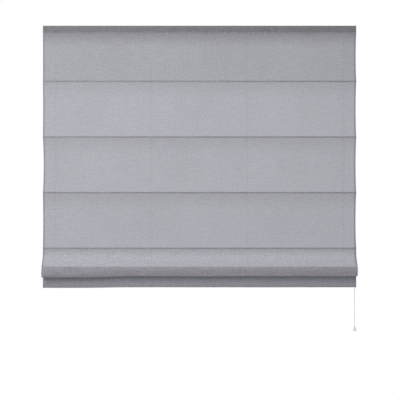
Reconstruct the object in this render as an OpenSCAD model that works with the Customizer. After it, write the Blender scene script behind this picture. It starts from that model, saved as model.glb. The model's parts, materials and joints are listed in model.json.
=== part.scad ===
// Roman blind with a cord lock: a sheer cloth on a slim head rail, four rods in sewn
// pockets, a bar in the bottom hem, four lift cords and one pull cord with a bell.
// The origin is on the mounting plane, at the middle of the bracket holes. Seen from the
// front, +X runs to the right. -Y is the front and +Z is up. Millimetres.

/* [Cloth] */
// Width of the cloth
blind_w = 1300; // [1250:5:1400]
// Height of one pleat, rod to rod
pleat_h = 231; // [225:1:235]
// Height of the head of the cloth above the rail
head_rise = 3; // [2.5:0.5:4]
// Thickness of the cloth as modelled
cloth_t = 0.8; // [0.6:0.1:0.9]
// Height of the bottom hem
hem_h = 86; // [80:1:90]

/* [Head rail] */
// Height of the rail section
rail_h = 25; // [24:0.5:26]
// Depth of the rail section
rail_d = 24; // [23.5:0.5:24.5]
// Sheet thickness of the rail section
rail_t = 1.2; // [1:0.1:1.3]
// Gap between the rail and the mounting plane
back_gap = 5; // [4.5:0.5:5.5]
// Thickness of an end cap
cap_t = 1.5; // [1:0.1:1.8]

/* [Rods and bar] */
// Diameter of a cross rod
rod_d = 4; // [3:0.5:4]
// How far a rod end stands out of its pocket
rod_out = 1; // [0.5:0.5:2]
// Diameter of the bottom bar
bar_d = 5; // [4:0.5:5]

/* [Cords] */
// Diameter of a lift cord
cord_d = 1; // [0.9:0.1:1.2]
// Diameter of the pull cord, the four cord tails laid together
pull_d = 2.4; // [2.2:0.1:2.6]
// Distance of the outer lift cords from the middle
cord_x = 600; // [560:5:605]
// Height of the foot of the bell below the origin
bell_foot = 1253; // [1180:1:1300]
// Diameter of the bell at its foot
bell_d = 14; // [13:0.5:15]

/* [Brackets] */
// Distance of a bracket from the middle
bracket_x = 450; // [300:10:520]
// Width of a bracket
bracket_w = 30; // [24:1:40]
// Distance between the two screw holes of a bracket
hole_gap = 13; // [11:0.5:14]
// Diameter of a screw hole
hole_d = 4.4; // [4:0.1:5]

/* [Hidden] */
$fn = 48;

// Rail section: back, front, floor and top
yb = -back_gap;
yf = yb - rail_d;
zb = -rail_h / 2;
zt = rail_h / 2;
floor_z = zb + rail_t;
rail_x = blind_w / 2 - cap_t;
lip = 5;

// Tapes and the plane in which the cloth hangs
tape_t = 1.3;
tape_h = 20;
cy = yf - 2 * tape_t - cloth_t / 2;
cloth_top = zt + head_rise;

// Rod rows
function row_z(k) = cloth_top - k * pleat_h;
rod_y = cy + 3.4;
pocket_r = rod_d / 2 + 0.35 + cloth_t / 2;

// Lift cords
ly = -20;
lift_x = [-cord_x, -cord_x / 3, cord_x / 3, cord_x];
lane_y = [-20.5, -11.5, -17.5, -14.5];
ring_r = 4.2;
ring_w = 0.9;

// Cord lock at the right end
px = rail_x - 2.2;
py = -16;
pin_r = 2.5;
pin_x = px - pin_r - cord_d / 2 - 0.15;
pin_z = 3.5;
turn_r = pin_r + cord_d / 2 + 0.15;
roll_r = 3.5;
roll_x = px - cord_d / 2 - 0.25 - roll_r;
roll_z = -4;
free_dx = -2.8;
free_dz = 2.1;
lock_x0 = 632;
lock_x1 = rail_x - 0.2;
lock_y0 = py - 7;
lock_y1 = py + 7;
lock_top = 8;
lock_foot = zb - 2;
pull_top = -37;

// Bottom pleat, from rod 4 forward and down, round the fold and back up to the hem
z4 = row_z(4);
hem_top = z4 - 75.5;
hem_foot = hem_top - hem_h;
FOLD = [[0, -8], [-0.5, -14], [-4, -30], [-12, -46], [-24, -62], [-32, -77], [-36.5, -92],
        [-36.5, -103], [-32, -111], [-25, -112.5], [-18, -106], [-9, -92], [-2, -81], [0.6, -77.5]];

// ---------- helpers ----------

// A point on a smooth curve through the control points
function cr(p, i, t) =
    let (n = len(p), a = p[max(i - 1, 0)], b = p[i], c = p[i + 1], d = p[min(i + 2, n - 1)])
    0.5 * (2 * b + (c - a) * t + (2 * a - 5 * b + 4 * c - d) * t * t + (3 * b - a - 3 * c + d) * t * t * t);
function smooth(p, m) = [for (i = [0 : len(p) - 2]) for (j = [0 : m - 1]) cr(p, i, j / m), p[len(p) - 1]];

// The two faces of a strip of thickness w along a flat path
function unit(v) = v / norm(v);
function side(p, i) =
    let (t = unit(p[min(i + 1, len(p) - 1)] - p[max(i - 1, 0)])) [t[1], -t[0]];
function strip(p, w) = concat([for (i = [0 : len(p) - 1]) p[i] + side(p, i) * w / 2],
                              [for (i = [len(p) - 1 : -1 : 0]) p[i] - side(p, i) * w / 2]);

// A shape drawn in the Y-Z plane, run along X
module along_x(x0, x1) {
    translate([x0, 0, 0]) rotate([90, 0, 90]) linear_extrude(height = x1 - x0) children();
}

// A cylinder along X
module bar_x(d, x0, x1, y, z) {
    translate([x0, y, z]) rotate([0, 90, 0]) cylinder(d = d, h = x1 - x0);
}

// A cylinder along Y
module bar_y(r, y0, y1, x, z) {
    translate([x, y0, z]) rotate([-90, 0, 0]) cylinder(r = r, h = y1 - y0);
}

module box(a, b) {
    translate(a) cube(b - a);
}

// A thin round cord along a route: rings of eight points, each square to the route
function along(p, i) = unit(p[min(i + 1, len(p) - 1)] - p[max(i - 1, 0)]);
function across(t) = abs(t[1]) < 0.9 ? unit(cross(t, [0, 1, 0])) : unit(cross(t, [1, 0, 0]));
function hoop(p, i, r, n) =
    let (t = along(p, i), u = across(t), v = cross(t, u))
    [for (k = [0 : n - 1]) p[i] + r * (cos(360 * k / n) * u + sin(360 * k / n) * v)];
module cord(p, d, n = 8) {
    m = len(p);
    polyhedron(
        points = [for (i = [0 : m - 1]) each hoop(p, i, d / 2, n)],
        faces = concat([[for (k = [0 : n - 1]) k]],
                       [for (i = [0 : m - 2]) for (k = [0 : n - 1])
                           [i * n + k, (i + 1) * n + k, (i + 1) * n + (k + 1) % n, i * n + (k + 1) % n]],
                       [[for (k = [n - 1 : -1 : 0]) (m - 1) * n + k]]));
}

// ---------- head rail ----------

module headrail() {
    color("whitesmoke") difference() {
        along_x(-rail_x, rail_x) difference() {
            translate([yf, zb]) square([rail_d, rail_h]);
            translate([yf + rail_t, floor_z]) square([rail_d - 2 * rail_t, rail_h - 2 * rail_t]);
            translate([yf + lip, 0]) square([rail_d - 2 * lip, rail_h]);
        }
        for (x = lift_x) translate([x, ly, zb - 1]) cylinder(d = 9, h = rail_t + 2);
        box([lock_x0 + 6.8, lock_y0 + 0.8, zb - 1], [rail_x + 1, lock_y1 - 0.8, floor_z + 0.5]);
    }
}

// An end cap: a plate with two tabs that push into the rail
module end_cap() {
    box([rail_x, yf, zb], [rail_x + cap_t, yb, zt]);
    box([rail_x - 10, yb - rail_t - 1.4, -8], [rail_x, yb - rail_t - 0.1, 8]);
    box([rail_x - 10, yf + rail_t + 0.1, -8], [rail_x, yf + rail_t + 1.5, 8]);
}
module end_cap_right() {
    color("white") end_cap();
}
module end_cap_left() {
    color("white") mirror([1, 0, 0]) end_cap();
}

// A sheet-steel bracket: a back leg with two holes, an arm over the rail with two hooks
// that catch its lips from inside, and a foot under the rail
module bracket(x) {
    s = 1.5;
    a = x - bracket_w / 2;
    b = x + bracket_w / 2;
    difference() {
        union() {
            box([a, -s, zb - 0.2 - s], [b, 0, zt + 0.2 + s]);
            box([a, yf + lip + 0.3, zt + 0.2], [b, -s, zt + 0.2 + s]);
            box([a, yb - 7, zb - 0.2 - s], [b, -s, zb - 0.2]);
            box([a, yf + lip + 0.3, zt - 3.2], [b, yf + lip + 0.3 + s, zt + 0.2]);
            box([a, yf + lip - 2.5, zt - 3.2], [b, yf + lip + 0.3, zt - 1.7]);
            box([x - 6, yb - lip - 0.3 - s, zt - 3.2], [x + 6, yb - lip - 0.3, zt + 0.2]);
            box([x - 6, yb - lip - 0.3, zt - 3.2], [x + 6, yb - lip + 2.2, zt - 1.7]);
        }
        for (z = [-hole_gap / 2, hole_gap / 2]) bar_y(hole_d / 2, -s - 1, 1, x, z);
    }
}
module bracket_left() {
    color("gainsboro") bracket(-bracket_x);
}
module bracket_right() {
    color("gainsboro") bracket(bracket_x);
}

module hook_tape() {
    color("gray") box([-rail_x + 3, yf - tape_t, -tape_h / 2], [rail_x - 3, yf, tape_h / 2]);
}
module loop_tape() {
    color("darkgray") box([-rail_x + 3, yf - 2 * tape_t, -tape_h / 2], [rail_x - 3, yf - tape_t, tape_h / 2]);
}

// A snap-in eyelet with a rounded bore
module eyelet(x) {
    translate([x, ly, 0]) rotate_extrude() difference() {
        union() {
            translate([2, zb - 1.6]) square([2.4, rail_t + 2.8]);
            translate([2, floor_z]) square([4.5, 1.2]);
            translate([2, zb - 1.2]) square([3.6, 1.2]);
        }
        translate([2, zb - 1.6]) circle(r = 0.7);
        translate([2, floor_z + 1.2]) circle(r = 0.7);
    }
}
module eyelet_1() {
    color("white") eyelet(lift_x[0]);
}
module eyelet_2() {
    color("white") eyelet(lift_x[1]);
}
module eyelet_3() {
    color("white") eyelet(lift_x[2]);
}
module eyelet_4() {
    color("white") eyelet(lift_x[3]);
}

// ---------- cord lock ----------

// The housing: two cheeks with slanted slots for the roller, a floor, and a throat at the
// right end that the cords leave through
module cord_lock() {
    ch = 1.5;
    color("white") difference() {
        union() {
            box([lock_x0, lock_y0, floor_z], [lock_x1, lock_y1, lock_top]);
            box([lock_x0 + 7, lock_y0 + 1, lock_foot], [lock_x1, lock_y1 - 1, floor_z]);
        }
        box([lock_x0 + 1.5, lock_y0 + ch, floor_z + 2], [lock_x1 - 0.7, lock_y1 - ch, lock_top + 1]);
        box([lock_x0 - 1, lock_y0 + ch, -1], [lock_x0 + 2, lock_y1 - ch, lock_top + 1]);
        box([px - 1.3, lock_y0 + ch, lock_foot - 1], [lock_x1 - 0.7, lock_y1 - ch, floor_z + 3]);
        for (y = [lock_y0 - 1, lock_y1 - ch - 1]) {
            bar_y(1.65, y, y + ch + 2, roll_x, roll_z);
            bar_y(1.65, y, y + ch + 2, roll_x + free_dx, roll_z + free_dz);
            translate([roll_x, 0, roll_z]) rotate([0, atan2(free_dz, -free_dx), 0])
                box([-norm([free_dx, free_dz]), y, -1.65], [0, y + ch + 2, 1.65]);
        }
        bar_y(1.55, lock_y0 - 1, lock_y1 + 1, pin_x, pin_z);
    }
}

// The fixed pin that turns the cords down into the throat: its ends sit in the cheeks
module lock_pin() {
    color("silver") union() {
        bar_y(pin_r, lock_y0 + 1.8, lock_y1 - 1.8, pin_x, pin_z);
        bar_y(1.5, lock_y0, lock_y1, pin_x, pin_z);
    }
}

// The knurled roller that grips the cords: its stub ends run in the slots
module lock_roller() {
    color("goldenrod") difference() {
        union() {
            bar_y(roll_r, lock_y0 + 1.8, lock_y1 - 1.8, roll_x, roll_z);
            bar_y(1.35, lock_y0 + 0.2, lock_y1 - 0.2, roll_x, roll_z);
        }
        for (k = [0 : 11]) translate([roll_x, 0, roll_z]) rotate([0, k * 30 + 15, 0])
            box([roll_r - 0.25, lock_y0 + 1, -0.3], [roll_r + 1, lock_y1 - 1, 0.3]);
    }
}

// ---------- cloth, rods, bar ----------

// The path of the cloth seen from the side: down from the head, back round each rod and
// out again, forward into the drawn-up pleat, back to the hem and round the bar
function pocket(z) = concat(
    [[cy, z + 3.2], [cy, z + 1.5]],
    [for (a = [160 : -20 : -160]) [rod_y + pocket_r * cos(a), z + pocket_r * sin(a)]],
    [[cy, z - 1.5], [cy, z - 3.2]]);
fold = [for (q = smooth(FOLD, 4)) [cy + q[0], z4 + q[1]]];
hem_r = bar_d / 2 + 0.4 + cloth_t / 2;
bar_y0 = cy + 2.7;
bar_z = hem_foot + cloth_t / 2 + hem_r;
hem = concat(
    [for (a = [150 : -30 : 30]) [cy + 2 + 1.4 * cos(a), hem_top - 1.8 + 1.4 * sin(a)]],
    [[cy + 3.4, hem_top - 6], [cy + 1.6, hem_top - 30], [bar_y0 - hem_r, bar_z + 12]],
    [for (a = [180 : 20 : 360]) [bar_y0 + hem_r * cos(a), bar_z + hem_r * sin(a)]],
    [[bar_y0 + hem_r + 0.1, bar_z + 12], [cy + 6, hem_top - 30], [cy + 6.1, hem_top - 2]]);
cloth_path = concat([[cy, cloth_top], [cy, 0]],
                    pocket(row_z(1)), pocket(row_z(2)), pocket(row_z(3)), pocket(row_z(4)),
                    fold, hem);

module cloth() {
    color("darkgray") along_x(-blind_w / 2, blind_w / 2) polygon(strip(cloth_path, cloth_t));
}

module rod(k) {
    color("lightgray") bar_x(rod_d, -blind_w / 2 - rod_out, blind_w / 2 + rod_out, rod_y, row_z(k));
}
module rod_1() {
    rod(1);
}
module rod_2() {
    rod(2);
}
module rod_3() {
    rod(3);
}
module rod_4() {
    rod(4);
}
module bottom_bar() {
    color("dimgray") bar_x(bar_d, -blind_w / 2 + 3, blind_w / 2 - 3, bar_y0, bar_z);
}

// ---------- rings and cords ----------

module ring_row(z) {
    color("white") for (x = lift_x) translate([x, ly, z]) rotate_extrude() translate([ring_r, 0]) circle(r = ring_w, $fn = 24);
}
hem_ring_z = hem_top - 6;
module rings_1() {
    ring_row(row_z(1));
}
module rings_2() {
    ring_row(row_z(2));
}
module rings_3() {
    ring_row(row_z(3));
}
module rings_4() {
    ring_row(row_z(4));
}
module rings_hem() {
    ring_row(hem_ring_z);
}

// A lift cord: up from its hem ring through the rings and its eyelet, along its own lane
// in the rail, over the pin, down the throat and in beside the others
function lift_route(k) = concat(
    [[lift_x[k], ly, hem_ring_z - 2]],
    [for (j = [4 : -1 : 1]) [lift_x[k], ly, row_z(j)]],
    [[lift_x[k], ly, zb - 2], [lift_x[k], ly, floor_z + 0.6],
     [lift_x[k] + 1, ly + 0.15 * (lane_y[k] - ly), floor_z + 2.6],
     [lift_x[k] + 3, ly + 0.4 * (lane_y[k] - ly), floor_z + 3.8],
     [lift_x[k] + 8, ly + 0.8 * (lane_y[k] - ly), floor_z + 4.8],
     [lift_x[k] + 14, lane_y[k], floor_z + 5.8],
     [lock_x0 - 4, lane_y[k], pin_z + turn_r - 0.8]],
    [for (a = [100 : -20 : 0]) [pin_x + turn_r * cos(a), lane_y[k], pin_z + turn_r * sin(a)]],
    [[px, lane_y[k], lock_foot - 0.5],
     [px, py + (lane_y[k] - py) * 0.55, lock_foot - 10],
     [px, py + (lane_y[k] - py) * 0.45, pull_top + 0.4]]);
module lift_cord_1() {
    color("white") cord(lift_route(0), cord_d);
}
module lift_cord_2() {
    color("white") cord(lift_route(1), cord_d);
}
module lift_cord_3() {
    color("white") cord(lift_route(2), cord_d);
}
module lift_cord_4() {
    color("white") cord(lift_route(3), cord_d);
}

// The pull cord hangs straight from where the four tails come together
bell_h = 17;
bell_top = -bell_foot + bell_h;
pull_end = bell_top - 3;
PULL_STEPS = 40;
pull_route = [for (i = [0 : PULL_STEPS]) [px, py, pull_top + (pull_end - pull_top) * i / PULL_STEPS]];
module pull_cord() {
    color("white") cord(pull_route, pull_d);
}

// The bell: a hollow cone with a rounded head and a bore for the cord
module cord_bell() {
    w = 1.3;
    r0 = bell_d / 2;
    color("gainsboro") translate([px, py, -bell_foot]) rotate_extrude() polygon([
        [r0 - 0.4, 0], [r0, 0.4], [r0, 2], [r0 - 0.7, 4], [r0 - 2.6, 11], [4.2, bell_h - 1.5], [3.6, bell_h - 0.4], [3, bell_h],
        [1.5, bell_h], [1.5, bell_h - 2], [2.6, bell_h - 3.4], [r0 - 2.6 - w, 10.5], [r0 - 0.7 - w, 4], [r0 - w, 2], [r0 - w, 0.2]]);
}

// The knot that holds the bell up, inside it
module bell_knot() {
    color("white") translate([px, py, pull_end - 1.9]) union() {
        sphere(r = 1.9);
        translate([0, 0, -4.5]) cylinder(r = 0.9, h = 4);
    }
}

headrail();
end_cap_left();
end_cap_right();
bracket_left();
bracket_right();
hook_tape();
loop_tape();
eyelet_1();
eyelet_2();
eyelet_3();
eyelet_4();
cord_lock();
lock_pin();
lock_roller();
cloth();
rod_1();
rod_2();
rod_3();
rod_4();
bottom_bar();
rings_1();
rings_2();
rings_3();
rings_4();
rings_hem();
lift_cord_1();
lift_cord_2();
lift_cord_3();
lift_cord_4();
pull_cord();
cord_bell();
bell_knot();
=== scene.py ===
# Looks of the roman blind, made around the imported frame. Metres, in the frame's own axes:
# +X to the right, -Y to the front, +Z up, origin on the mounting plane at the middle of the
# bracket holes. Lengths in the tables below are millimetres, as on the drawing.
import json
import math

import bpy
import numpy as np
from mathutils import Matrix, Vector


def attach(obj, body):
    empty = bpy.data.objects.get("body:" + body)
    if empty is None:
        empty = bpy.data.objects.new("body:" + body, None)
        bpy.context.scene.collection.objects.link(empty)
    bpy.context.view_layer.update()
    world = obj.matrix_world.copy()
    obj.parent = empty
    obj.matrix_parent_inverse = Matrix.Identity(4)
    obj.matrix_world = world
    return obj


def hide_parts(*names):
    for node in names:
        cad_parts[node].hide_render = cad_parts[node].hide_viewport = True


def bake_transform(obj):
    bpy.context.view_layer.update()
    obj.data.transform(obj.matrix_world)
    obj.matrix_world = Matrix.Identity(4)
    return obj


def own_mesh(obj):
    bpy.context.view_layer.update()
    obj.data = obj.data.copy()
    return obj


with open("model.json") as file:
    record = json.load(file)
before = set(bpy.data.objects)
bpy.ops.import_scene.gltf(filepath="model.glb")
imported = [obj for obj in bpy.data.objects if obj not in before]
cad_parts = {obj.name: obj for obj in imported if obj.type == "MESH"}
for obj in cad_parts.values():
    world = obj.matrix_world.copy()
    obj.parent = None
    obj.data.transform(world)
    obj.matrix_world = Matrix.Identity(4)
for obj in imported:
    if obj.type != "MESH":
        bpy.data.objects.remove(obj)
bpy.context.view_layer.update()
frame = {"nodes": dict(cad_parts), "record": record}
NODES = frame["nodes"]
MM = 0.001

# ---------------------------------------------------------------- sizes
W = 650.0  # half the width of the cloth
CY = -32.0  # plane in which the cloth hangs
TOP = 15.5  # head of the cloth
PLEAT = 231.0
ROW = [TOP - k * PLEAT for k in range(5)]  # ROW[1] to ROW[4] are the rods
ROD_Y, POCKET_R = -28.6, 2.75
HEAD_FOOT = -12.5
Z4 = ROW[4]
HEM_TOP = Z4 - 75.5
HEM_FOOT = HEM_TOP - 86.0
BAR_Y, BAR_Z, BAR_LOOP = -29.3, HEM_FOOT + 3.7, 3.3
FOLD = [[0, -8], [-0.5, -14], [-4, -30], [-12, -46], [-24, -62], [-32, -77], [-36.5, -92],
        [-36.5, -103], [-32, -111], [-25, -112.5], [-18, -106], [-9, -92], [-2, -81], [0.6, -77.5]]
ROUND = [[-24.3, -62], [-33, -73], [-36.4, -84], [-34.9, -94.5], [-31.2, -104]]  # the same five points where the fold is rounder
LIFT_X = [-600.0, -200.0, 200.0, 600.0]
LIFT_Y = -20.0
LANE_Y = [-20.5, -11.5, -17.5, -14.5]
CORD_R = 0.5
RING_R = 4.2
HEM_RING = HEM_TOP - 6.0
RAIL_FLOOR = -12.5 + 1.2
PULL_X, PULL_Y = 646.3, -16.0
PIN_X, PIN_Z, PIN_TURN = 643.15, 3.5, 3.15
PULL_TOP, PULL_END = -37.0, -1239.0


def smoothstep(x):
    x = np.clip(x, 0.0, 1.0)
    return x * x * (3 - 2 * x)


# ---------------------------------------------------------------- node helpers
class Tree:
    """A material's nodes, made with short calls."""

    def __init__(self, name):
        self.mat = bpy.data.materials.new(name)
        self.mat.use_nodes = True
        self.nt = self.mat.node_tree
        self.nt.nodes.clear()
        self.out = self.nt.nodes.new("ShaderNodeOutputMaterial")

    def add(self, kind, props=None, **inputs):
        n = self.nt.nodes.new(kind)
        for k, v in (props or {}).items():
            setattr(n, k, v)
        for k, v in inputs.items():
            self.put(n, k.replace("_", " "), v)
        return n

    def put(self, n, key, v):
        socket = n.inputs[key] if isinstance(key, int) else n.inputs.get(key)
        if isinstance(v, bpy.types.NodeSocket):
            self.nt.links.new(v, socket)
        else:
            socket.default_value = v

    def maths(self, op, a, b=0.0, clamp=False):
        n = self.add("ShaderNodeMath", {"operation": op, "use_clamp": clamp})
        self.put(n, 0, a)
        self.put(n, 1, b)
        return n.outputs[0]

    def coords(self, which="Object", scale=(1, 1, 1)):
        c = self.add("ShaderNodeTexCoord").outputs[which]
        m = self.add("ShaderNodeMapping", Vector=c, Scale=scale)
        return m.outputs[0]

    def noise(self, where, scale, detail=2.0, rough=0.5):
        n = self.add("ShaderNodeTexNoise", {"noise_dimensions": "3D"}, Vector=where, Scale=scale, Detail=detail, Roughness=rough)
        return n.outputs["Fac"]

    def spread(self, value, a, b, c, d):
        n = self.add("ShaderNodeMapRange")
        for k, v in (("Value", value), ("From Min", a), ("From Max", b), ("To Min", c), ("To Max", d)):
            self.put(n, k, v)
        return n.outputs[0]

    def tone(self, value, dark, light):
        n = self.add("ShaderNodeMix", {"data_type": "RGBA"})
        self.put(n, 0, value)
        n.inputs[6].default_value = (*dark, 1)
        n.inputs[7].default_value = (*light, 1)
        return n.outputs[2]

    def bump(self, height, distance, strength=1.0):
        n = self.add("ShaderNodeBump", Strength=strength, Distance=distance, Height=height)
        return n.outputs[0]

    def finish(self, shader):
        self.nt.links.new(shader, self.out.inputs["Surface"])
        return self.mat


def moulded(name, dark, light, rough, grain=1400.0, depth=0.00003, metallic=0.0, stretch=(1, 1, 1), cloud=60.0, spec=0.5):
    """A hard surface: slow change of tone, and a fine grain that roughens and bumps it."""
    t = Tree(name)
    slow = t.noise(t.coords("Object"), cloud, 3.0)
    fine = t.noise(t.coords("Object", stretch), grain, 3.0, 0.6)
    p = t.add("ShaderNodeBsdfPrincipled")
    t.put(p, "Base Color", t.tone(t.spread(t.maths("ADD", t.maths("MULTIPLY", slow, 0.6), t.maths("MULTIPLY", fine, 0.4)), 0.3, 0.7, 0, 1), dark, light))
    t.put(p, "Roughness", t.spread(fine, 0.25, 0.75, rough - 0.07, rough + 0.07))
    p.inputs["Metallic"].default_value = metallic
    p.inputs["Specular IOR Level"].default_value = spec
    t.put(p, "Normal", t.bump(fine, depth, 0.6))
    return t.finish(p.outputs[0])


# ---------------------------------------------------------------- materials
def voile(name, lively=1.0):
    """Sheer grey cloth: uneven threads both ways, thicker slubs, and gaps that let the light by.
    A point attribute makes the cloth more opaque and darker: painted shade below the rods, in the rod pockets, on the
    head, over the top panel and at the top of the fold, with a slight unevenness of the weave mixed in.
    lively sets how far the threads differ in tone."""
    t = Tree(name)
    weft = t.noise(t.coords("UV", (16, 290, 1)), 1.0, 3.0, 0.6)
    warp = t.noise(t.coords("UV", (290, 20, 1)), 1.0, 3.0, 0.6)
    cloud = t.noise(t.coords("UV", (1, 1, 1)), 145.0, 4.0, 0.65)
    mix = t.maths("ADD", t.maths("ADD", t.maths("MULTIPLY", weft, 0.30), t.maths("MULTIPLY", warp, 0.22)), t.maths("MULTIPLY", cloud, 0.48))
    even = t.spread(mix, 0.38, 0.62, 0.0, 1.0)
    # painted shade: this point value raises the cover and darkens the tone below the rods, in the pockets, on the head
    # and the top panel, with a little unevenness of the weave
    painted_shade_and_weave = t.add("ShaderNodeAttribute", {"attribute_name": "painted_shade_and_weave"}).outputs["Fac"]
    cover = t.maths("ADD", t.spread(even, 0.0, 1.0, 0.80, 0.89), painted_shade_and_weave, True)
    threads = t.maths("ADD", t.noise(t.coords("UV", (60, 1700, 1)), 1.0, 1.0), t.noise(t.coords("UV", (1700, 60, 1)), 1.0, 1.0))
    yarn = t.maths("ADD", t.spread(even, 0.0, 1.0, 0.5 - 0.22 * lively, 0.5 + 0.22 * lively), t.maths("MULTIPLY", t.maths("SUBTRACT", threads, 1.0), 0.45))
    # the painted shade darkens the yarn tone here
    shade = t.maths("SUBTRACT", yarn, t.maths("MULTIPLY", painted_shade_and_weave, 2.5), True)
    colour = t.tone(shade, (0.190, 0.188, 0.208), (0.525, 0.520, 0.572))
    height = t.maths("ADD", t.maths("MULTIPLY", threads, 0.5), mix)
    normal = t.bump(height, 0.00025, 0.5)
    body = t.add("ShaderNodeBsdfPrincipled", Base_Color=colour, Normal=normal)
    body.inputs["Roughness"].default_value = 0.9
    body.inputs["Specular IOR Level"].default_value = 0.15
    body.inputs["Sheen Weight"].default_value = 0.08
    body.inputs["Sheen Roughness"].default_value = 0.5
    glow = t.add("ShaderNodeBsdfTranslucent", Color=colour, Normal=normal)
    solid = t.add("ShaderNodeMixShader")
    solid.inputs[0].default_value = 0.25
    t.put(solid, 1, body.outputs[0])
    t.put(solid, 2, glow.outputs[0])
    # the gaps tint what shows through them blue: painted blue of daylight from a window
    gaps = t.add("ShaderNodeBsdfTransparent")
    gaps.inputs["Color"].default_value = (0.88, 0.915, 1.0, 1)
    whole = t.add("ShaderNodeMixShader")
    t.put(whole, 0, cover)
    t.put(whole, 1, gaps.outputs[0])
    t.put(whole, 2, solid.outputs[0])
    return t.finish(whole.outputs[0])


def thread():
    t = Tree("grey_thread")
    ply = t.noise(t.coords("Object", (1, 1, 1)), 2600.0, 2.0)
    p = t.add("ShaderNodeBsdfPrincipled", Base_Color=t.tone(ply, (0.42, 0.418, 0.445), (0.58, 0.577, 0.605)), Normal=t.bump(ply, 0.00004, 0.7))
    p.inputs["Roughness"].default_value = 0.7
    return t.finish(p.outputs[0])


def braided(name, dark, light):
    """White cord: crossing strands, on UVs that run round the cord and along it in cord widths."""
    t = Tree(name)
    uv = t.add("ShaderNodeTexCoord").outputs["UV"]
    split = t.add("ShaderNodeSeparateXYZ", Vector=uv)
    round_, along = split.outputs[0], split.outputs[1]
    a = t.maths("SINE", t.maths("MULTIPLY", t.maths("ADD", along, t.maths("MULTIPLY", round_, 2.0)), 2 * math.pi))
    b = t.maths("SINE", t.maths("MULTIPLY", t.maths("SUBTRACT", along, t.maths("MULTIPLY", round_, 2.0)), 2 * math.pi))
    lay = t.maths("ADD", t.maths("MULTIPLY", t.maths("MULTIPLY", a, b), 0.5), 0.5)
    fuzz = t.noise(t.coords("Object"), 3000.0, 2.0)
    both = t.maths("ADD", t.maths("MULTIPLY", lay, 0.7), t.maths("MULTIPLY", fuzz, 0.3))
    p = t.add("ShaderNodeBsdfPrincipled", Base_Color=t.tone(both, dark, light), Normal=t.bump(both, 0.00012, 0.8))
    p.inputs["Roughness"].default_value = 0.75
    p.inputs["Sheen Weight"].default_value = 0.1
    return t.finish(p.outputs[0])


def tape(name, dark, light, cell, depth):
    """Hook or loop tape: a field of small points on a woven ground."""
    t = Tree(name)
    where = t.coords("Object")
    v = t.add("ShaderNodeTexVoronoi", {"feature": "F1"}, Vector=where, Scale=cell)
    fuzz = t.noise(where, cell * 1.7, 3.0)
    both = t.maths("ADD", t.maths("MULTIPLY", v.outputs["Distance"], 0.7), t.maths("MULTIPLY", fuzz, 0.5))
    p = t.add("ShaderNodeBsdfPrincipled", Base_Color=t.tone(t.spread(both, 0.2, 0.8, 0, 1), light, dark), Normal=t.bump(both, depth, 0.8))
    p.inputs["Roughness"].default_value = 0.85
    return t.finish(p.outputs[0])


CLOTH = voile("sheer_voile")
CLOTH_FOLD = voile("sheer_voile_fold", 1.45)
THREAD = thread()
CORD = braided("white_braid", (0.55, 0.55, 0.54), (0.78, 0.78, 0.77))
PAINT = {
    "rail_white": moulded("white_powder_coat", (0.76, 0.76, 0.755), (0.84, 0.84, 0.835), 0.42, 1500, 0.00002),
    "cap_plastic": moulded("white_cap_plastic", (0.75, 0.75, 0.735), (0.83, 0.83, 0.815), 0.5, 900, 0.00003),
    "bracket_steel": moulded("zinc_plated_steel", (0.50, 0.51, 0.53), (0.70, 0.70, 0.69), 0.36, 300, 0.00001, 1.0, (1, 6, 1), 240),
    "hook_tape": tape("hook_tape_nylon", (0.20, 0.20, 0.21), (0.36, 0.36, 0.37), 800, 0.0004),
    "loop_tape": tape("loop_tape_nylon", (0.27, 0.27, 0.28), (0.42, 0.42, 0.43), 1300, 0.0003),
    "eyelet_plastic": moulded("white_eyelet_plastic", (0.76, 0.76, 0.75), (0.83, 0.83, 0.82), 0.28, 700, 0.000015),
    "lock_plastic": moulded("white_lock_plastic", (0.74, 0.74, 0.72), (0.83, 0.83, 0.81), 0.45, 1000, 0.00003),
    "pin_steel": moulded("drawn_pin_steel", (0.48, 0.48, 0.48), (0.68, 0.68, 0.68), 0.25, 500, 0.00001, 1.0, (6, 1, 6)),
    "roller_brass": moulded("knurled_brass", (0.55, 0.40, 0.16), (0.80, 0.63, 0.34), 0.34, 800, 0.00002, 1.0, (1, 1, 1), 300),
    "rod_fibreglass": moulded("white_fibreglass", (0.62, 0.62, 0.60), (0.78, 0.78, 0.76), 0.5, 600, 0.00002, 0.0, (0.02, 1, 1), 40),
    "bar_steel": moulded("drawn_bar_steel", (0.26, 0.255, 0.25), (0.44, 0.43, 0.42), 0.42, 500, 0.00001, 0.9, (0.03, 1, 1), 50),
    "ring_plastic": moulded("white_ring_plastic", (0.78, 0.78, 0.77), (0.86, 0.86, 0.85), 0.22, 700, 0.00001),
    "bell_plastic": moulded("pale_bell_plastic", (0.70, 0.70, 0.695), (0.79, 0.79, 0.785), 0.5, 500, 0.000015, spec=0.3),
    "cord_white": CORD,
    "sheer_cloth": CLOTH,
}
for part in frame["record"]["subparts"]:
    o = NODES[part["node"]]
    o.data.materials.clear()
    o.data.materials.append(PAINT[part["material_slot"]])

# the moulded caps have slightly round edges
for name, round_ in (("end_cap_left", 0.0006), ("end_cap_right", 0.0006)):
    o = NODES[name]
    join = o.modifiers.new("join", "WELD")
    join.merge_threshold = 0.00001
    edge = o.modifiers.new("edge", "BEVEL")
    edge.width = round_
    edge.segments = 2
    edge.limit_method = "ANGLE"
    edge.angle_limit = math.radians(40)
    even = o.modifiers.new("even", "WEIGHTED_NORMAL")
    even.keep_sharp = False


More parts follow.
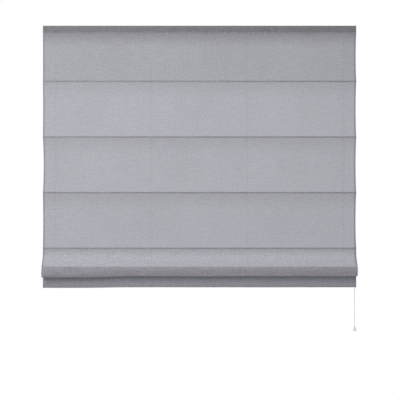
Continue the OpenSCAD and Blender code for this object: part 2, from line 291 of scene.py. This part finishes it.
# ---------------------------------------------------------------- mesh helpers
class Mesh:
    """Gathers grids of points into one mesh with UVs, materials and the cloth's point value of painted shade and weave
    unevenness.
    """

    def __init__(self, name):
        self.name = name
        self.v, self.f, self.uv, self.m, self.d = [], [], [], [], []
        self.n = 0

    def grid(self, points, uv, material=0, painted_shade_and_weave=None, round_=False, caps=False):
        nv, nu = points.shape[:2]
        i, j = np.meshgrid(np.arange(nv - 1), np.arange(nu if round_ else nu - 1), indexing="ij")
        k = (j + 1) % nu
        quads = np.stack([i * nu + j, (i + 1) * nu + j, (i + 1) * nu + k, i * nu + k], -1).reshape(-1, 4)
        wrap = np.stack([j, j, j + 1, j + 1], -1).reshape(-1, 4)
        rows = np.stack([i, i + 1, i + 1, i], -1).reshape(-1, 4)
        self.v.append(points.reshape(-1, 3))
        self.f += (quads + self.n).tolist()
        self.uv.append(uv[rows, wrap].reshape(-1, 2))
        self.m += [material] * len(quads)
        if caps:
            for ring, flip in ((0, False), (nv - 1, True)):
                face = [self.n + ring * nu + x for x in range(nu)]
                self.f.append(face[::-1] if flip else face)
                self.uv.append(uv[ring, :nu])
                self.m.append(material)
        self.d.append(np.zeros(nv * nu) if painted_shade_and_weave is None else np.broadcast_to(painted_shade_and_weave, (nv, nu)).ravel())
        self.n += nv * nu

    def tube(self, path, radius, sides=8, material=0, caps=True, round_width=None):
        """A round cord along a path, with UVs round it and along it in cord widths."""
        p = np.asarray(path, float)
        t = np.gradient(p, axis=0)
        t /= np.linalg.norm(t, axis=1)[:, None]
        up = np.array([0.0, 1.0, 0.0]) if abs(t[0][1]) < 0.9 else np.array([1.0, 0.0, 0.0])
        u = np.cross(t[0], up)
        u /= np.linalg.norm(u)
        frames = []
        for k in range(len(p)):
            u = u - t[k] * np.dot(u, t[k])
            u /= np.linalg.norm(u)
            frames.append((u, np.cross(t[k], u)))
        a = np.linspace(0, 2 * math.pi, sides, endpoint=False)
        r = np.broadcast_to(radius, (len(p),))
        pts = np.array([[p[k] + r[k] * (math.cos(x) * frames[k][0] + math.sin(x) * frames[k][1]) for x in a] for k in range(len(p))])
        s = np.concatenate([[0], np.cumsum(np.linalg.norm(np.diff(p, axis=0), axis=1))])
        uv = np.zeros((len(p), sides + 1, 2))
        uv[:, :, 0] = np.linspace(0, 1, sides + 1)[None]
        uv[:, :, 1] = (s / (round_width or (2 * np.max(r))))[:, None]
        self.grid(pts, uv, material, None, True, caps)

    def build(self, *materials):
        me = bpy.data.meshes.new(self.name)
        v = np.concatenate(self.v) * MM
        me.from_pydata(v.tolist(), [], self.f)
        layer = me.uv_layers.new(name="UVMap")
        layer.data.foreach_set("uv", np.concatenate(self.uv).astype(np.float32).ravel())
        me.polygons.foreach_set("material_index", np.array(self.m, np.int32))
        me.polygons.foreach_set("use_smooth", np.ones(len(me.polygons), bool))
        at = me.attributes.new("painted_shade_and_weave", "FLOAT", "POINT")
        at.data.foreach_set("value", np.concatenate(self.d).astype(np.float32))
        for m in materials:
            me.materials.append(m)
        me.update()
        o = bpy.data.objects.new(self.name, me)
        bpy.context.scene.collection.objects.link(o)
        return o


def arc_length(p):
    return np.concatenate([[0], np.cumsum(np.linalg.norm(np.diff(np.asarray(p, float), axis=0), axis=1))])


def curve_through(p, m):
    """A smooth curve through control points, m steps between each two."""
    p = np.asarray(p, float)
    out = []
    n = len(p)
    for i in range(n - 1):
        a, b, c, d = p[max(i - 1, 0)], p[i], p[i + 1], p[min(i + 2, n - 1)]
        for j in range(m):
            t = j / m
            out.append(0.5 * (2 * b + (c - a) * t + (2 * a - 5 * b + 4 * c - d) * t * t + (3 * b - a - 3 * c + d) * t**3))
    out.append(p[-1])
    return np.array(out)


def across(gap, hem=6.5, columns=200):
    """The cloth's section from side to side: a narrow hem turned to the back at both edges.
    Gives x, the distance behind the front face, and the flat width."""
    r = gap / 2
    edge = W - r
    back = [(x, gap) for x in np.linspace(W - hem, edge, 4)]
    turn = [(edge + r * math.sin(a), r + r * math.cos(a)) for a in np.linspace(0, math.pi, 7)[1:-1]]
    right = [*back, *turn]
    front = [(x, 0.0) for x in np.linspace(-edge, edge, columns)]
    line = np.array([(-x, d) for x, d in right] + front + [(x, d) for x, d in right[::-1]])
    return line[:, 0], line[:, 1], arc_length(line)


def cloth_grid(mesh, profile, section, v0, warp=None, painted_shade_and_weave=None, material=0):
    """Runs a side profile (y, z) along the section. warp(x, share) gives the move of each point in
    x, y and z, and the last function of (x, share) the painted shade, with some unevenness of the weave, that makes the
    cloth darker and more opaque."""
    pr = np.asarray(profile, float)
    s = arc_length(pr)
    t = np.gradient(pr, axis=0)
    t /= np.linalg.norm(t, axis=1)[:, None]
    back = np.stack([-t[:, 1], t[:, 0]], 1)
    X, D, U = section
    pts = np.zeros((len(pr), len(X), 3))
    pts[:, :, 0] = X[None]
    pts[:, :, 1] = pr[:, None, 0] + back[:, None, 0] * D[None]
    pts[:, :, 2] = pr[:, None, 1] + back[:, None, 1] * D[None]
    share = np.broadcast_to((s / s[-1])[:, None], pts.shape[:2])
    if warp is not None:
        pts += np.stack(np.broadcast_arrays(*warp(pts[:, :, 0].copy(), share)), -1)
    uv = np.zeros((len(pr), len(X), 2))
    uv[:, :, 0] = (U[None] - U[-1] / 2) * MM
    uv[:, :, 1] = -(v0 + s[:, None]) * MM
    mesh.grid(pts, uv, material, None if painted_shade_and_weave is None else painted_shade_and_weave(pts[:, :, 0], share))
    return s[-1]


def stitches(mesh, line, pitch, length, radius, lift, material=1):
    """A row of stitches along a line of points: each is a short thread that dips into the cloth at its ends."""
    p = np.asarray(line, float)
    s = arc_length(p)
    n = int(s[-1] / pitch)
    a = np.linspace(0, 2 * math.pi, 5, endpoint=False)
    for k in range(n):
        at = (k + 0.5) * pitch
        q = np.array([[np.interp(at + f * length / 2, s, p[:, c]) for c in range(3)] for f in (-1, -0.55, 0, 0.55, 1)])
        along = q[-1] - q[0]
        along /= np.linalg.norm(along)
        out = np.array([0.0, -1.0, 0.0])
        side = np.cross(along, out)
        side /= np.linalg.norm(side)
        q += out * (lift * np.array([-0.5, 0.75, 1, 0.75, -0.5]))[:, None]
        r = radius * np.array([0.5, 0.95, 1, 0.95, 0.5])
        pts = np.array([[q[i] + r[i] * (math.cos(x) * side + math.sin(x) * out) for x in a] for i in range(5)])
        mesh.grid(pts, np.zeros((5, 6, 2)), material, None, True, True)


def hung(replaced=("cloth",)):
    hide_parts(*replaced)


# ---------------------------------------------------------------- cloth
SECTION = across(0.4)
SECTION_HEAD = across(0.1)


def wave(x, k, n):
    """Slow unevenness along the width, the same each run: about -1 to 1."""
    return 0.55 * np.sin(2 * math.pi * x / (470 + 37 * k) + 1.3 * k + n) + 0.3 * np.sin(2 * math.pi * x / (197 + 11 * k) + 2.1 * k + 2 * n) + 0.15 * np.sin(2 * math.pi * x / 83 + k + n)


# the head: turned over twice, so three layers, with the loop tape behind
turn = [(-32.05, 14.0), (-32.05, 2.0), (-32.05, -12.0)]
turn += [(-31.9 - 0.15 * math.cos(a), -12.0 - 0.15 * math.sin(a)) for a in np.linspace(0.4, math.pi, 5)]
turn += [(-31.75, 0.0), (-31.75, TOP - 0.5)]
turn += [(-32.05 + 0.3 * math.cos(a), TOP - 0.35 + 0.35 * math.sin(a)) for a in np.linspace(0.3, math.pi - 0.3, 6)]
turn += [(-32.35, z) for z in np.linspace(TOP - 0.6, HEAD_FOOT, 6)]
m = Mesh("cloth_head")
# painted shade: the whole head is darkened
head_len = cloth_grid(m, turn, SECTION_HEAD, -60.0, painted_shade_and_weave=lambda x, s: 0.165 * np.ones_like(x))
for z in (9.2, -10.4):
    stitches(m, [(x, -32.38, z) for x in np.linspace(-646, 646, 60)], 3.4, 2.5, 0.16, 0.12)
o = m.build(CLOTH, THREAD)
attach(o, "rail")
hung()

V0 = 28.0
PANEL_V = {}
for k in range(1, 5):
    z_a = HEAD_FOOT if k == 1 else ROW[k - 1] - 3.2
    z_b = ROW[k] + 3.2
    zs = np.linspace(z_a, z_b, 60)
    pull_right, pull_left = 3.2, 4.0 if k == 3 else 1.7
    belly = (5.4, 4.2, 3.0, 1.8)[k - 1]  # each pleat hangs just behind the one above it when drawn up

    def warp(x, s, k=k, pr=pull_right, pl=pull_left, belly=belly):
        b = np.sin(math.pi * s)
        right = np.clip((x - 430) / 220, 0, 1) ** 2
        left = np.clip((-x - 430) / 220, 0, 1) ** 2
        dx = -pr * b**0.8 * right + pl * b**0.8 * left
        dy = -(belly + 0.6 * wave(x, 2, 0)) * b * (1 + 0.14 * np.cos(math.pi * s))
        if k == 1:
            dy = dy - 0.35 * (1 - smoothstep(s / 0.12))
        dz = 0.5 * wave(x, k, 3) * b
        return dx, dy, dz

    # painted shade: darker just below each rod and towards the top of each panel, and the top panel darker all over
    # below the head; the wave adds a slight unevenness of the weave
    def painted_shade_and_weave(x, s, k=k):
        painted_shade = (0.065 if k == 1 else 0.03) * (1 - smoothstep(s / 0.35)) + 0.022 * (1 - s) + (0.045 if k == 1 else 0.0)
        return painted_shade + 0.008 * wave(x, k, 5) * np.sin(math.pi * s)

    m = Mesh(f"cloth_panel_{k}")
    length = cloth_grid(m, [(CY, z) for z in zs], SECTION, V0, warp, painted_shade_and_weave)
    for side in (-1, 1):
        line = []
        for z in zs:
            s = np.array([(z_a - z) / (z_a - z_b)])
            x = np.array([side * (W - 5.2)])
            d = warp(x, s)
            line.append((x[0] + d[0][0], CY - 0.03 + d[1][0], z + d[2][0]))
        stitches(m, line, 3.4, 2.5, 0.15, 0.1)
    o = m.build(CLOTH, THREAD)
    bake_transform(o)
    hung()
    V0 += length

    # the pocket of the rod: the cloth goes back round the rod and out again
    z = ROW[k]
    loop = [(CY, 3.2), (CY, 2.2), (CY + 0.08, 1.3), (CY + 0.3, 0.72), (CY + 0.55, 0.5)]
    loop += [(ROD_Y + POCKET_R * math.cos(a), POCKET_R * math.sin(a)) for a in np.radians(np.linspace(171, -171, 36))]
    loop += [(CY + 0.55, -0.5), (CY + 0.3, -0.72), (CY + 0.08, -1.3), (CY, -2.2), (CY, -3.2)]
    m = Mesh(f"cloth_pocket_{k}")
    # painted shade: each pocket darkened so the line at the rod reads darker, the top rod most
    length = cloth_grid(m, [(y, z + dz) for y, dz in loop], across(0.3), V0, None, lambda x, s, k=k: (0.075, 0.055, 0.055, 0.035)[k - 1] * np.ones_like(x))
    o = m.build(CLOTH, THREAD)
    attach(o, f"row_{k}")
    hung()
    V0 += length

# the drawn-up pleat: forward and down from rod 4, round the fold, and back up to the hem
path = np.concatenate([[[CY, Z4 - 3.2], [CY, Z4 - 5.6]], curve_through(FOLD, 7) + np.array([CY, Z4])])
low = int(np.argmin(path[:, 1]))


def droop(x):
    """The left end of the fold hangs a little lower."""
    return smoothstep((-x - 290) / 190)


def roundness(x):
    """The fold is crisp at its left end and rounder from there to the right."""
    return smoothstep((x + 620) / 420)


def fold_warp(x, s, depth):
    fall = (5.4 * droop(x) + 0.6 * wave(x, 5, 1)) * depth
    dy = 0.361 * fall - 0.9 * wave(x, 6, 2) * np.sin(math.pi * np.clip(depth, 0, 1))
    return np.zeros_like(x), dy, -fall


front, back = path[: low + 1], path[low:]
front_depth = lambda s: smoothstep((s - 0.12) / 0.88)
soft = np.concatenate([path[:2], curve_through(FOLD[:4] + ROUND + FOLD[9:], 7) + np.array([CY, Z4])])[: low + 1] - front
front_share = arc_length(front) / arc_length(front)[-1]
soft *= (1 - smoothstep((front_share - 0.93) / 0.07))[:, None]


def front_warp(x, s):
    dx, dy, dz = fold_warp(x, s, front_depth(s))
    r = roundness(x)
    return dx, dy + r * np.interp(s, front_share, soft[:, 0]), dz + r * np.interp(s, front_share, soft[:, 1])


m = Mesh("cloth_pleat_front")
# painted shade: the front of the fold darker just below rod 4
length_front = cloth_grid(m, front, SECTION, V0, front_warp, lambda x, s: 0.052 * (1 - smoothstep(s / 0.3)) + 0.0 * x)
o = m.build(CLOTH_FOLD, THREAD)
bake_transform(o)
hung()
V0 += length_front

m = Mesh("cloth_pleat_return")
length_return = cloth_grid(m, back, SECTION, V0, lambda x, s: fold_warp(x, s, 1 - smoothstep(s)))
o = m.build(CLOTH, THREAD)
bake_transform(o)
hung()
V0 += length_return

# the hem: over the top, down the front, round the bar and up the back
hem = [tuple(back[-1])]
hem += [(CY + 2 + 1.4 * math.cos(math.radians(a)), HEM_TOP - 1.8 + 1.4 * math.sin(math.radians(a))) for a in range(150, 29, -20)]
down = curve_through([(CY + 3.3, HEM_TOP - 3), (CY + 3.4, HEM_TOP - 6), (CY + 2.4, HEM_TOP - 22), (CY + 1.2, HEM_TOP - 44), (BAR_Y - BAR_LOOP, BAR_Z + 14), (BAR_Y - BAR_LOOP, BAR_Z + 1)], 6)
hem += [tuple(q) for q in down]
hem += [(BAR_Y + BAR_LOOP * math.cos(math.radians(a)), BAR_Z + BAR_LOOP * math.sin(math.radians(a))) for a in range(190, 351, 10)]
up = curve_through([(BAR_Y + BAR_LOOP, BAR_Z + 1), (BAR_Y + BAR_LOOP + 0.1, BAR_Z + 12), (CY + 6, HEM_TOP - 30), (CY + 6.1, HEM_TOP - 14), (CY + 6.1, HEM_TOP - 2.2)], 6)
hem += [tuple(q) for q in up]


def hem_warp(x, s):
    flat = np.sin(math.pi * np.clip((s - 0.06) / 0.40, 0, 1))
    loose = np.sin(math.pi * np.clip(s, 0, 1)) ** 2  # the pocket is roomier than the bar, and most at the left
    return np.zeros_like(x), -0.5 * (1 + wave(x, 7, 4)) * flat, -(0.7 + 2.2 * droop(x) + 0.3 * wave(x, 8, 2)) * loose


m = Mesh("cloth_hem")
length_hem = cloth_grid(m, hem, SECTION, V0, hem_warp)
stitches(m, [(x, CY + 6.1 + 0.42, HEM_TOP - 4.2) for x in np.linspace(-646, 646, 60)], 3.4, 2.5, 0.16, -0.12)
o = m.build(CLOTH, THREAD)
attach(o, "hem")
hung()

# ---------------------------------------------------------------- cords and ring ties
for n in range(4):
    x, lane, name = LIFT_X[n], LANE_Y[n], f"lift_cord_{n + 1}"
    ly = LIFT_Y
    run = [(x, ly, -14.5), (x, ly, RAIL_FLOOR + 0.6), (x + 1, ly + 0.15 * (lane - ly), RAIL_FLOOR + 2.6), (x + 3, ly + 0.4 * (lane - ly), RAIL_FLOOR + 3.8),
           (x + 8, ly + 0.8 * (lane - ly), RAIL_FLOOR + 4.8), (x + 14, lane, RAIL_FLOOR + 5.8)]
    run = list(curve_through(run, 4))
    far = np.array([628.0, lane, PIN_Z + PIN_TURN - 0.8])
    first = np.array(run[-1])
    run += [tuple(first + (far - first) * f) for f in np.linspace(0, 1, 24)[1:]]
    run += [(PIN_X + PIN_TURN * math.cos(math.radians(a)), lane, PIN_Z + PIN_TURN * math.sin(math.radians(a))) for a in range(100, -1, -10)]
    fall = curve_through([(PULL_X, lane, PIN_Z - 1.5), (PULL_X, lane, -6.0), (PULL_X, lane, -15.0), (PULL_X, PULL_Y + (lane - PULL_Y) * 0.55, -24.5), (PULL_X, PULL_Y + (lane - PULL_Y) * 0.45, PULL_TOP)], 5)
    run += [tuple(q) for q in fall]
    m = Mesh(f"{name}.run")
    m.tube(run, CORD_R, 8)
    o = m.build(CORD)
    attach(o, "rail")
    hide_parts(name)
    for k in range(1, 5):
        z_a, z_b = (-14.5 if k == 1 else ROW[k - 1]), ROW[k]
        m = Mesh(f"{name}.drop_{k}")
        m.tube([(x, ly, z) for z in np.linspace(z_a, z_b, 24)], CORD_R, 8)
        o = m.build(CORD)
        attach(o, "rail" if k == 1 else f"row_{k - 1}")
        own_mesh(o)
        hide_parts(name)
    # the last drop is tied to its hem ring: twice round the wire, with a short tail
    wire_y = ly + RING_R
    tie = [(x, ly, z) for z in np.linspace(Z4, HEM_RING + 16, 12)]
    tie += [tuple(q) for q in curve_through([(x, ly, HEM_RING + 14), (x, ly + 0.9, HEM_RING + 7), (x, wire_y - 1.2, HEM_RING + 2.6), (x - 0.9, wire_y - 0.2, HEM_RING + 1.5)], 5)]
    coil = [(x - 0.9 + 1.9 * f, wire_y + 1.45 * math.sin(2 * math.pi * 2.4 * f), HEM_RING + 1.45 * math.cos(2 * math.pi * 2.4 * f)) for f in np.linspace(0.02, 1, 36)]
    tie += coil
    cx, cyy, cz = coil[-1]
    tie += [(cx + 0.5, cyy + 0.3, cz - 1.5), (cx + 0.7, cyy + 0.4, cz - 4.0), (cx + 0.5, cyy + 0.2, cz - 7.0)]
    m = Mesh(f"{name}.tie")
    m.tube(tie, CORD_R, 8)
    o = m.build(CORD)
    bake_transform(o)
    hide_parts(name)

for k, z in [(1, ROW[1]), (2, ROW[2]), (3, ROW[3]), (4, ROW[4]), ("hem", HEM_RING)]:
    m = Mesh(f"ring_ties_{k}")
    for x in LIFT_X:
        for dx in (-0.75, -0.25, 0.25, 0.75):
            cy = -24.9
            ring = [(x + dx * (1 + 0.1 * math.sin(a)), cy + 1.35 * math.cos(a), z + 1.3 * math.sin(a) + 0.1 * dx) for a in np.linspace(0, 2 * math.pi * 15 / 16, 16)]
            ring.append(ring[0])
            m.tube(ring, 0.17, 5, 0, False)
    o = m.build(THREAD)
    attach(o, "hem" if k == "hem" else f"row_{k}")

# the pull cord: the four cord ends laid together as a rope
m = Mesh("pull_rope")
pitch, lay_r = 13.0, 0.7
depth = np.concatenate([np.linspace(PULL_TOP, PULL_TOP - 30, 26), np.linspace(PULL_TOP - 30, PULL_END, 1150)[1:]])
for n in range(4):
    tail_y = (LANE_Y[n] - PULL_Y) * 0.45
    a0 = {0: -math.pi / 2, 1: math.pi / 2, 2: math.pi, 3: 0.0}[n]
    f = smoothstep((PULL_TOP - depth) / 16.0)
    ang = a0 + 2 * math.pi * np.clip(PULL_TOP - 8 - depth, 0, None) / pitch
    xs = PULL_X + f * lay_r * np.cos(ang)
    ys = PULL_Y + (1 - f) * tail_y + f * lay_r * np.sin(ang)
    m.tube(np.stack([xs, ys, depth], 1), CORD_R, 6, 0, True)
o = m.build(CORD)
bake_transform(o)
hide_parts("pull_cord")

# the knot inside the bell
m = Mesh("bell_stop_knot")
a = np.linspace(0, 2 * math.pi, 72)
trefoil = np.stack([PULL_X + 0.46 * (np.sin(a) + 2 * np.sin(2 * a)), PULL_Y + 0.46 * (np.cos(a) - 2 * np.cos(2 * a)), -1241.2 - 0.95 * np.sin(3 * a)], 1)
m.tube(trefoil, 0.72, 8, 0, False)
for dx, dy in ((0.35, 0.3), (-0.4, 0.2), (0.05, -0.45)):
    m.tube([(PULL_X + dx * f, PULL_Y + dy * f, z) for f, z in ((0.5, -1241.0), (1.0, -1242.6), (1.4, -1244.0), (1.9, -1245.4))], 0.42, 7, 0, True)
m.tube([(PULL_X, PULL_Y, -1238.0), (PULL_X, PULL_Y, -1239.2), (PULL_X, PULL_Y, -1240.6)], 1.15, 8, 0, True)
knot = m.build(CORD)
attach(knot, "pull")
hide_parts("bell_knot")

# ---------------------------------------------------------------- stage, light and camera
scene = bpy.context.scene
scene.view_settings.view_transform = "Standard"
scene.view_settings.look = "None"
scene.cycles.transparent_max_bounces = 48

floor = bpy.data.meshes.new("floor")
floor.from_pydata([(-4, -4.3, -2.2), (4, -4.3, -2.2), (4, 3.7, -2.2), (-4, 3.7, -2.2)], [], [(0, 1, 2, 3)])
floor_o = bpy.data.objects.new("floor", floor)
scene.collection.objects.link(floor_o)
floor_o.visible_diffuse = False  # a pale floor would light the undersides too much
t = Tree("pale_floor")
speck = t.noise(t.coords("Object"), 9.0, 4.0)
p = t.add("ShaderNodeBsdfPrincipled", Base_Color=t.tone(speck, (0.87, 0.865, 0.855), (0.91, 0.905, 0.895)))
p.inputs["Roughness"].default_value = 0.9
p.inputs["Emission Color"].default_value = (1, 0.99, 0.975, 1)
p.inputs["Emission Strength"].default_value = 0.28
place = t.add("ShaderNodeMapping", Vector=t.add("ShaderNodeTexCoord").outputs["Object"])
place.inputs["Location"].default_value = (0.0, 0.1, 0.733)
place.inputs["Scale"].default_value = (1 / 3.0, 1 / 3.0, 1 / 3.0)
ball = t.add("ShaderNodeTexGradient", {"gradient_type": "SPHERICAL"}, Vector=place.outputs[0])
clear = t.add("ShaderNodeBsdfTransparent")
rim = t.add("ShaderNodeMixShader")
t.put(rim, 0, t.spread(ball.outputs["Fac"], 0.0, 0.55, 0.0, 1.0))
t.put(rim, 1, clear.outputs[0])
t.put(rim, 2, p.outputs[0])
floor.materials.append(t.finish(rim.outputs[0]))

world = bpy.data.worlds.new("studio")
scene.world = world
world.use_nodes = True
nt = world.node_tree
nt.nodes.clear()
seen = nt.nodes.new("ShaderNodeBackground")
seen.inputs[0].default_value = (1, 1, 1, 1)
seen.inputs[1].default_value = 1.0
fill = nt.nodes.new("ShaderNodeBackground")
fill.inputs[0].default_value = (0.98, 0.985, 1.0, 1)
fill.inputs[1].default_value = 0.435
ray = nt.nodes.new("ShaderNodeLightPath")
both = nt.nodes.new("ShaderNodeMixShader")
nt.links.new(ray.outputs["Is Camera Ray"], both.inputs[0])
nt.links.new(fill.outputs[0], both.inputs[1])
nt.links.new(seen.outputs[0], both.inputs[2])
out = nt.nodes.new("ShaderNodeOutputWorld")
nt.links.new(both.outputs[0], out.inputs["Surface"])


def area(name, place, aim, size, power, colour):
    light = bpy.data.lights.new(name, "AREA")
    light.shape = "RECTANGLE"
    light.size, light.size_y = size
    light.energy = power
    light.color = colour
    o = bpy.data.objects.new(name, light)
    o.location = place
    o.rotation_euler = (Vector(aim) - Vector(place)).to_track_quat("-Z", "Y").to_euler()
    o.visible_camera = False
    scene.collection.objects.link(o)
    return o


area("key", (-1.3, -2.65, 1.15), (0.0, 0.0, -0.6), (1.6, 2.6), 104.0, (1.0, 0.99, 0.982))
area("back_fill", (1.3, 2.7, 0.5), (0.0, 0.0, -0.5), (2.0, 2.0), 34.0, (1.0, 0.995, 0.99))
area("low_bounce", (0.0, -0.14, -2.12), (0.0, -0.1, -1.0), (1.7, 0.4), 5.0, (1.0, 0.66, 0.38))

cam = bpy.data.cameras.new("camera")
cam.sensor_width = 36.0
cam.lens = 71.58
cam_o = bpy.data.objects.new("camera", cam)
cam_o.location = (0.0019, -3.332, -0.7077)
cam_o.rotation_euler = (math.radians(90), 0, 0)
scene.collection.objects.link(cam_o)
scene.camera = cam_o
